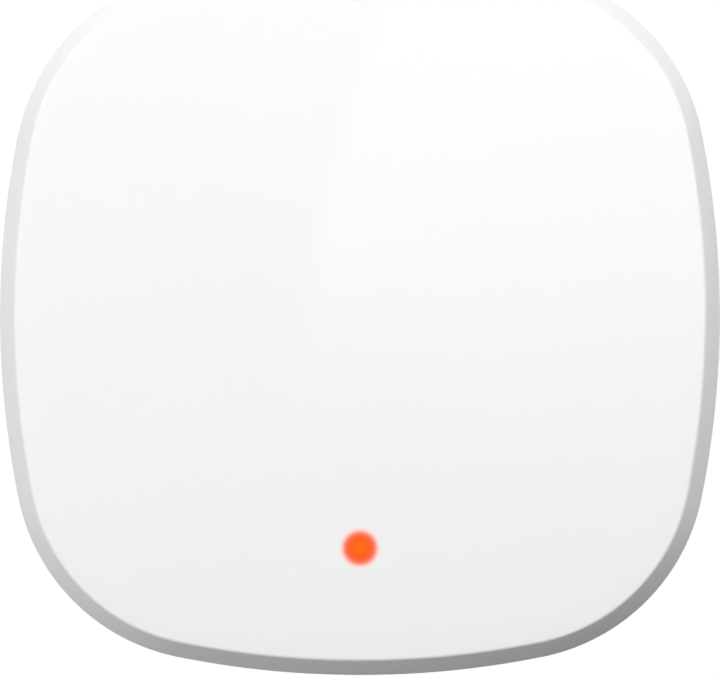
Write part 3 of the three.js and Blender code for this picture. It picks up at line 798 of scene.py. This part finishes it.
def makeBracket():
    look = bracketLook
    radius, front = look["radius"], look["front"]
    back = front - look["sheet"]
    inside = radius - look["sheet"]
    under = fillet([(0, back), (inside, back), (inside, 0)], [0.7])
    over = fillet([(radius, 0), (radius, front), (0, front)], [2.0], 8)
    bracket = lathe("mountBracket", [*under, *over], steps=160)
    pads = [lathe("pad", [*fillet([(0, 0), (look["padFoot"], 0), (look["padRadius"], front - 0.4)],
                                  [0.8]), Vector((0, front - 0.4))], x, y, 56)
            for x, y in look["pads"]]
    pivotY, pivotZ = latchPivot
    ears = [roundedBox("ear", *sorted(side * x for x in look["ear"]), pivotY - look["earHalf"],
                       pivotY + look["earHalf"], pivotZ - look["earDrop"], back + 0.5)
            for side in (-1, 1)]
    combine(bracket, "UNION", *pads, *ears)
    floor, slope, mouth = look["dimple"]
    dimples = [lathe("dimple", [*fillet([(0, look["sheet"]), (floor, look["sheet"]), (slope, 7.0),
                                         (mouth, front), (mouth, 9)], [0.8, 1.2, 0.01]),
                                Vector((0, 9))], x, y, 56) for x, y in look["pads"]]
    slots = []
    for angle in studAngles:
        end = angle + look["twist"]
        slots.append(arcBar("slot", studCircle, look["slotHalf"], angle, end,
                            *look["throughCut"]))
        slots.append(rod("keyhole", look["keyhole"], *look["throughCut"],
                         *polar(studCircle, end), steps=48))
    combine(
        bracket, "DIFFERENCE", *dimples,
        *[rod("screwHole", look["screwHole"], -1, 4, x, y) for x, y in look["pads"]], *slots,
        roundedBox("portWindow", *look["portWindow"], *look["sheetCut"], corner=5, steps=10),
        rod("centreHole", look["centreHole"], *look["sheetCut"], steps=48),
        roundedBox("cableExit", *look["cableExit"], -1, back, corner=0.6, along="y"),
        roundedBox("latchGap", *look["latchGap"], -1, back, corner=0.6, along="y"),
        roundedBox("noseWindow", *look["noseWindow"], *look["sheetCut"], corner=0.8),
        latheAlong("pinHole", "x", [(0, -12), (look["pinHole"], -12), (look["pinHole"], 12),
                                    (0, 12)], (0, pivotY, pivotZ)))
    smooth(closeUp(bracket, cutWeldGap), 34)
    return finishPiece(bracket, "bracket", finishes["bracketCoat"], "bracket_paint",
                       "mount_bracket")


mountBracket = makeBracket()
print("bracket made:", len(mountBracket.data.polygons), "faces")


# The release latch, its pin and its spring.

latchLook = {
    "halfWidth": 5.0, "tip": -62.5, "arm": (3.4, 5.6), "barrel": (1.9, 2.1), "pinHole": 1.4,
    "padLength": 7, "padBack": 2.9, "padOver": 1, "nose": -46.9, "noseHalf": (2.6, 1.6),
    "noseSpan": (5, 9.4), "grooves": (1.5, 3.2, 4.9), "grooveHalf": (4, 0.4),
    "grooveSpan": (5.25, 6.4),
    "pin": [(0, -11), (0.8, -11), (1, -10.8), (1, 10.8), (0.8, 11), (0, 11)],
}


def makeLatch():
    look = latchLook
    half, tip, nose = look["halfWidth"], look["tip"], look["nose"]
    pivot = (0, *latchPivot)
    end, barrel = look["barrel"]
    latch = latheAlong("releaseLatch", "x", [
        (0, -half), (end, -half), (barrel, -half + 0.2), (barrel, half - 0.2), (end, half),
        (0, half)], pivot)
    arm = roundedBox("arm", -half, half, tip + 2, latchPivot[0], *look["arm"])
    padHalf = half + look["padOver"]
    pad = roundedBox("thumbPad", -padHalf, padHalf, tip, tip + look["padLength"],
                     look["padBack"], look["arm"][1], corner=1.4, soft=0.3)
    wide, deep = look["noseHalf"]
    hook = roundedBox("nose", -wide, wide, nose - deep, nose + deep, *look["noseSpan"],
                      corner=0.5, soft=0.2)
    combine(latch, "UNION", arm, pad, hook)
    wide, deep = look["grooveHalf"]
    grooves = [roundedBox("groove", -wide, wide, tip + g - deep, tip + g + deep,
                          *look["grooveSpan"], corner=0.35) for g in look["grooves"]]
    hole = look["pinHole"]
    combine(latch, "DIFFERENCE", *grooves,
            latheAlong("pinHole", "x", [(0, -7), (hole, -7), (hole, 7), (0, 7)], pivot))
    smooth(closeUp(latch, cutWeldGap), 34)
    return finishPiece(latch, "latch", finishes["latchPlastic"], "latch_plastic",
                       "release_latch")


makeLatch()
pivotPin = latheAlong("latchPin", "x", latchLook["pin"], (0, *latchPivot))
finishPiece(smooth(pivotPin, 40), "bracket", finishes["brightSteel"], "steel", "latch_pivot_pin")


springLook = {"wire": 0.22, "coil": 1.85, "from": 5.9, "to": 8.3, "turns": 3.1, "steps": 24,
              "armTip": (3.5, -45.0, 3.14), "armBend": (5.6, -44.3, 3.0), "foot": (8.3, -30.5, 5.3)}


def makeLatchSpring():  # one leg pushes the latch's arm, the other rests on the bracket
    look = springLook
    pivotY, pivotZ = latchPivot
    count = round(look["turns"] * look["steps"])
    coil = []
    for i in range(count + 1):
        angle = 1.5 * pi + 2 * pi * i / look["steps"]
        coil.append((look["from"] + (look["to"] - look["from"]) * i / count,
                     pivotY + look["coil"] * cos(angle), pivotZ + look["coil"] * sin(angle)))
    leg = fillet([look["armTip"], look["armBend"], coil[0]], [1.0])
    spring = drawWire("latchSpring", [at(*p) for p in (*leg, *coil[1:], look["foot"])])
    bpy.ops.object.mode_set(mode="OBJECT")
    bpy.ops.object.convert(target="CURVE")
    spring = bpy.context.object
    spring.data.bevel_depth = look["wire"] * mm
    spring.data.bevel_resolution = 3
    spring.data.use_fill_caps = True
    bpy.ops.object.convert(target="MESH")
    spring = smooth(named("latchSpring"), 40)
    spring.data.materials.append(finishes["brightSteel"])
    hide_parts("latch_spring")
    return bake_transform(spring)


makeLatchSpring()
print("latch made")


# Screws, feet and studs: one of each kind is turned, then copied to its places.

fastenerLook = {
    "coverScrew": [(0, 9.2), (2.2, 9.2), (2.8, 9.45), (3.1, 9.9), (3.1, 11.7), (1.4, 11.7),
                   (1.4, 31.2), (0, 32.2)],
    "foot": [(0, 0.4), (2.5, 0.4), (2.9, 0.5), (3.2, 0.75), (3.3, 1.0), (3.3, 1.45), (0, 1.45)],
    "stud": [(0, 4.2), (3.3, 4.2), (3.75, 4.35), (4.0, 4.75), (4.0, 5.55), (3.8, 5.8),
             (2.0, 5.8), (2.0, 8.5), (1.35, 8.5), (1.35, 11.4), (0, 11.4)],
    "footAt": (60, 18), "cross": (1.7, 0.35), "crossDepth": 1.1,
}


def crossRecess(screw):
    bottom = fastenerLook["coverScrew"][0][1]
    top = bottom + fastenerLook["crossDepth"]
    long, thin = fastenerLook["cross"]
    return combine(screw, "DIFFERENCE", *[
        roundedBox("bar", -wide, wide, -high, high, bottom - 1, top, corner=0.3)
        for wide, high in ((long, thin), (thin, long))])


def makeFasteners():
    corners = [(1, 1), (-1, 1), (-1, -1), (1, -1)]
    footX, footY = fastenerLook["footAt"]
    kinds = [
        ("coverScrew", "cover_screw", "brightSteel", "steel",
         [(x * coverScrewAt, y * coverScrewAt) for x, y in corners]),
        ("foot", "rubber_foot", "footRubber", "rubber",
         [(x * footX, y * footY) for x, y in corners]),
        ("stud", "mounting_stud", "darkSteel", "dark_steel",
         [polar(studCircle, a) for a in studAngles]),
    ]
    for kind, nodeStart, finish, slotName, places in kinds:
        first = lathe(kind, fastenerLook[kind], steps=48)
        if kind == "coverScrew":
            crossRecess(first)
        smooth(first, 34)
        for i, (x, y) in enumerate(places):
            piece = copyTo(first, f"{kind}{i + 1}", x, y)
            finishPiece(piece, "access_point", finishes[finish], slotName, f"{nodeStart}_{i + 1}")
        bpy.data.objects.remove(first)


makeFasteners()
labelPlace = (-19, 19, -38, -14, 8.3, 8.58)
label = roundedBox("labelPlate", *labelPlace, corner=2, steps=8)
finishPiece(smooth(label), "access_point", finishes["labelFilm"], "label_silver", "label_plate")
print("screws, feet, studs and label made")


# The jacks and the reset button.

jackLook = {
    "x": -16.0, "width": 16.0, "low": -1.4, "high": 19.7, "top": 11.4, "board": 24.9,
    "sheet": 0.5, "gap": 0.65, "tabs": (-4, 4), "tabHalf": 1.3, "roomDepth": (6, 21),
    "plugRoom": (5.9, 14.1, 22.3), "clipRoom": (3.1, 12.9, 15), "clipNotch": (2, 12.4, 14),
    "contactPitch": 1.02, "contacts": 8, "contactWidth": 0.36,
    "contact": ((17.4, 22.25), (10.6, 20.3), (8.2, 19.7), (7.9, 20.0), (10.2, 20.7),
                (17.2, 22.6)),
}


def makeNetworkJack():
    look = jackLook
    half = look["width"] / 2
    x0, x1 = look["x"] - half, look["x"] + half
    shell = roundedBox("jackShell", x0, x1, look["low"], look["high"], look["top"],
                       look["board"], soft=0.35)
    sheet, tab = look["sheet"], look["tabHalf"]
    springs = [roundedBox("tab", look["x"] + dx - tab, look["x"] + dx + tab, 12.5, 17,
                          look["top"] - 1, look["top"] + 0.12, corner=0.3) for dx in look["tabs"]]
    combine(shell, "DIFFERENCE", *springs,
            roundedBox("hollow", x0 + sheet, x1 - sheet, look["low"] + sheet, look["high"] + 1,
                       look["top"] + sheet, look["board"] + 1))
    finishPiece(smooth(shell), "access_point", finishes["brightSteel"], "steel",
                "ethernet_jack_shell")

    inner = half - look["gap"]
    insert = roundedBox("jackInsert", look["x"] - inner, look["x"] + inner, look["low"] + 0.7,
                        look["high"] - 0.1, look["top"] + 0.7, look["board"], soft=0.2)
    rooms = []
    for room in ("plugRoom", "clipRoom", "clipNotch"):
        wide, back, front = look[room]
        rooms.append(roundedBox(room, look["x"] - wide, look["x"] + wide, *look["roomDepth"],
                                back, front))
    combine(insert, "DIFFERENCE", *rooms)
    finishPiece(smooth(insert), "access_point", finishes["blackPlastic"], "black_plastic",
                "ethernet_jack_insert")
    first = look["x"] - look["contactPitch"] * (look["contacts"] - 1) / 2
    for i in range(look["contacts"]):
        x = first + i * look["contactPitch"]
        wide = look["contactWidth"]
        wire = drawWire(f"jackContact{i + 1}", [at(x - wide / 2, y, z) for y, z in look["contact"]])
        bpy.ops.mesh.edge_face_add()
        bpy.ops.mesh.extrude_region_move(TRANSFORM_OT_translate={"value": (wide * mm, 0, 0)})
        bpy.ops.object.mode_set(mode="OBJECT")
        finishPiece(smooth(closeUp(wire)), "access_point", finishes["goldPlate"], "brass")


powerLook = {
    "body": (-0.5, 8.5, 5.4, 19.7, 13.7, 24.9), "axis": (4, 0, 18.5),
    "bore": [(0, 9.7), (3.2, 9.7), (3.2, 19.3), (3.5, 20.2), (0, 20.2)],
    "pin": [(0, 10), (1, 10), (1, 18.3), (0.85, 18.7), (0.5, 18.9), (0, 18.9)],
}


def makePowerJack():
    look = powerLook
    body = roundedBox("powerJack", *look["body"], soft=0.3)
    bore = latheAlong("bore", "y", look["bore"], look["axis"])
    combine(body, "DIFFERENCE", bore)
    finishPiece(smooth(body), "access_point", finishes["blackPlastic"], "black_plastic",
                "power_jack_body")
    pin = latheAlong("powerPin", "y", look["pin"], look["axis"])
    finishPiece(smooth(pin, 40), "access_point", finishes["goldPlate"], "brass",
                "power_jack_pin")


buttonProfile = [
    (0, 14.4), (1, 14.4), (1, 16.2), (2.6, 16.2), (2.6, 17), (1.55, 17), (1.55, 20.1),
    (1.45, 20.35), (1.1, 20.5), (0.7, 20.45), (0, 20.4)]


def makeResetButton():
    button = latheAlong("resetButton", "y", buttonProfile, resetAt)
    finishPiece(smooth(button, 36), "reset_button", finishes["blackPlastic"], "black_plastic",
                "reset_button")


makeNetworkJack()
makePowerJack()
makeResetButton()
print("jacks and reset button made")


# The studio.

studio = {
    "cameraHeight": -5.05, "cameraBack": 2000.0, "widestAt": 31.0, "viewWidth": 159.953791,
    "floorHeight": -900.0, "floorSize": (40, 18), "floorBack": -4.0, "floorGlow": 0.80,
    "floorTones": ((0.80, 0.80, 0.80), (0.83, 0.83, 0.83)), "behind": 0.994,
    "sky": 0.84, "skyAhead": 1.02, "skyTurn": (0.93, 0.985),
    "softboxes": {  # azimuth, elevation, metres away, width and watts
        "keySoftbox": (0, 42, 1.1, 0.8, 7.93), "leftSoftbox": (-40, 5, 2.2, 1.8, 30.2),
        "rightSoftbox": (75, 20, 1.1, 0.8, 3.2), "lowSoftbox": (-28, -12, 1.4, 1.1, 2.68),
        "topSoftbox": (45, 45, 1.1, 0.7, 2.33), "backSoftbox": (-160, 26, 1.1, 0.7, 7.0),
    },
    "unmirrored": ("leftSoftbox", "lowSoftbox"),  # these light the gloss but don't show in it
    "cardPlace": (0.610, -1.1, -0.066), "cardSize": 1.27, "cardWatts": 2.98,
    "cardFade": (0.01, 0.10),
}


def areaLight(name, place, target, size, power, shape="SQUARE"):
    lamp = bpy.data.lights.new(name, "AREA")
    lamp.shape = shape
    lamp.size = size
    lamp.energy = power
    holder = bpy.data.objects.new(name, lamp)
    bpy.context.scene.collection.objects.link(holder)
    holder.location = place
    holder.rotation_euler = (Vector(target) - Vector(place)).to_track_quat("-Z", "Y").to_euler()
    holder.visible_camera = False
    holder.visible_glossy = name not in studio["unmirrored"]
    return lamp


def reflectorCard():  # a round card whose mirror image lies on the upper right of the face
    place = studio["cardPlace"]
    lamp = areaLight("reflectorCard", place, (place[0], 0, place[2]), studio["cardSize"],
                     studio["cardWatts"], "DISK")
    lamp.use_nodes = True
    tree = lamp.node_tree
    up = addNode(tree, "ShaderNodeSeparateXYZ", {
        "Vector": addNode(tree, "ShaderNodeTexCoord").outputs["Object"]}).outputs["Y"]
    tree.links.new(spread(tree, up, 0, 1, *studio["cardFade"]),
                   tree.nodes["Emission"].inputs["Strength"])


def makeStudio():
    scene = bpy.context.scene
    scene.view_settings.view_transform = "Standard"
    scene.view_settings.look = "None"
    camera = bpy.data.cameras.new("camera")
    holder = bpy.data.objects.new("camera", camera)
    scene.collection.objects.link(holder)
    back = studio["cameraBack"]
    holder.location = at(0, studio["cameraHeight"], back)
    holder.rotation_euler = (pi / 2, 0, 0)
    camera.sensor_width = 36
    camera.lens = camera.sensor_width * (back - studio["widestAt"]) / studio["viewWidth"]
    camera.clip_end = 100
    scene.camera = holder

    clearSelection()
    bpy.ops.mesh.primitive_plane_add(size=1, location=(0, 0, studio["floorHeight"] * mm))
    floor = named("floor")
    floor.scale = (*studio["floorSize"], 1)
    floor.location.y = studio["floorBack"]
    settle(floor)
    paper, tree, shader = newFinish("paleFloor")
    tone = noise(tree, objectPoint(tree), 3, 3)
    pale = blendColour(tree, tone, *studio["floorTones"])
    setShader(tree, shader, Base_Color=pale, Roughness=0.9, Emission_Color=pale,
              Emission_Strength=studio["floorGlow"])
    floor.data.materials.append(paper)
    floor.visible_diffuse = False
    floor.visible_glossy = False

    world = bpy.data.worlds.new("studio")
    scene.world = world
    world.use_nodes = True
    tree = world.node_tree
    background = tree.nodes["Background"]
    seen = addNode(tree, "ShaderNodeLightPath").outputs["Is Camera Ray"]
    away = addNode(tree, "ShaderNodeSeparateXYZ", {
        "Vector": addNode(tree, "ShaderNodeTexCoord").outputs["Generated"]}).outputs["Y"]
    light = spread(tree, away, 0, studio["behind"], 0, 1)
    sky = spread(tree, away, studio["sky"], studio["skyAhead"], *studio["skyTurn"])
    tree.links.new(blendColour(tree, seen, light, sky), background.inputs["Color"])
    for name, (azimuth, elevation, metres, size, power) in studio["softboxes"].items():
        turn, rise = radians(azimuth), radians(elevation)
        way = Vector((sin(turn) * cos(rise), -cos(turn) * cos(rise), sin(rise)))
        areaLight(name, way * metres, (0, 0, 0), size, power)
    reflectorCard()


makeStudio()
print("studio made")


# The finish of every carried-over piece, by how its name starts.

carriedFinishes = {
    "brightSteel": ("latch_pivot_pin", "latch_spring", "cover_screw", "ethernet_jack_shell",
                    "shield_can", "heat_sink_screw"),
    "darkSteel": ("mounting_stud",),
    "sinkAluminium": ("heat_sink", "capacitor"),
    "goldPlate": ("power_jack_pin", "antenna", "coax_plug"),
    "blackPlastic": ("ethernet_jack_insert", "power_jack_body", "reset_button"),
    "chipEpoxy": ("processor_chip", "memory_chip", "radio_chip", "lan_transformer",
                  "poe_transformer", "power_inductor", "reset_switch"),
    "footRubber": ("rubber_foot",),
    "coaxJacket": ("antenna_coax",),
    "gapPad": ("thermal_pad",),
    "labelFilm": ("label_plate",),
    "solderMask": ("main_board",),
    "latchPlastic": ("release_latch",),
    "bracketCoat": ("mount_bracket",),
    "housingPlastic": ("back_housing", "status_led"),
    "glossWhite": ("front_cover",),
    "orangeLens": ("light_pipe",),
}


def finishFor(nodeName):
    best = max((start for starts in carriedFinishes.values() for start in starts
                if nodeName.startswith(start)), key=len)
    return next(name for name, starts in carriedFinishes.items() if best in starts)


for nodeName, node in cadNodes.items():
    node.data.materials.clear()
    node.data.materials.append(finishes[finishFor(nodeName)])
print("carried pieces finished")
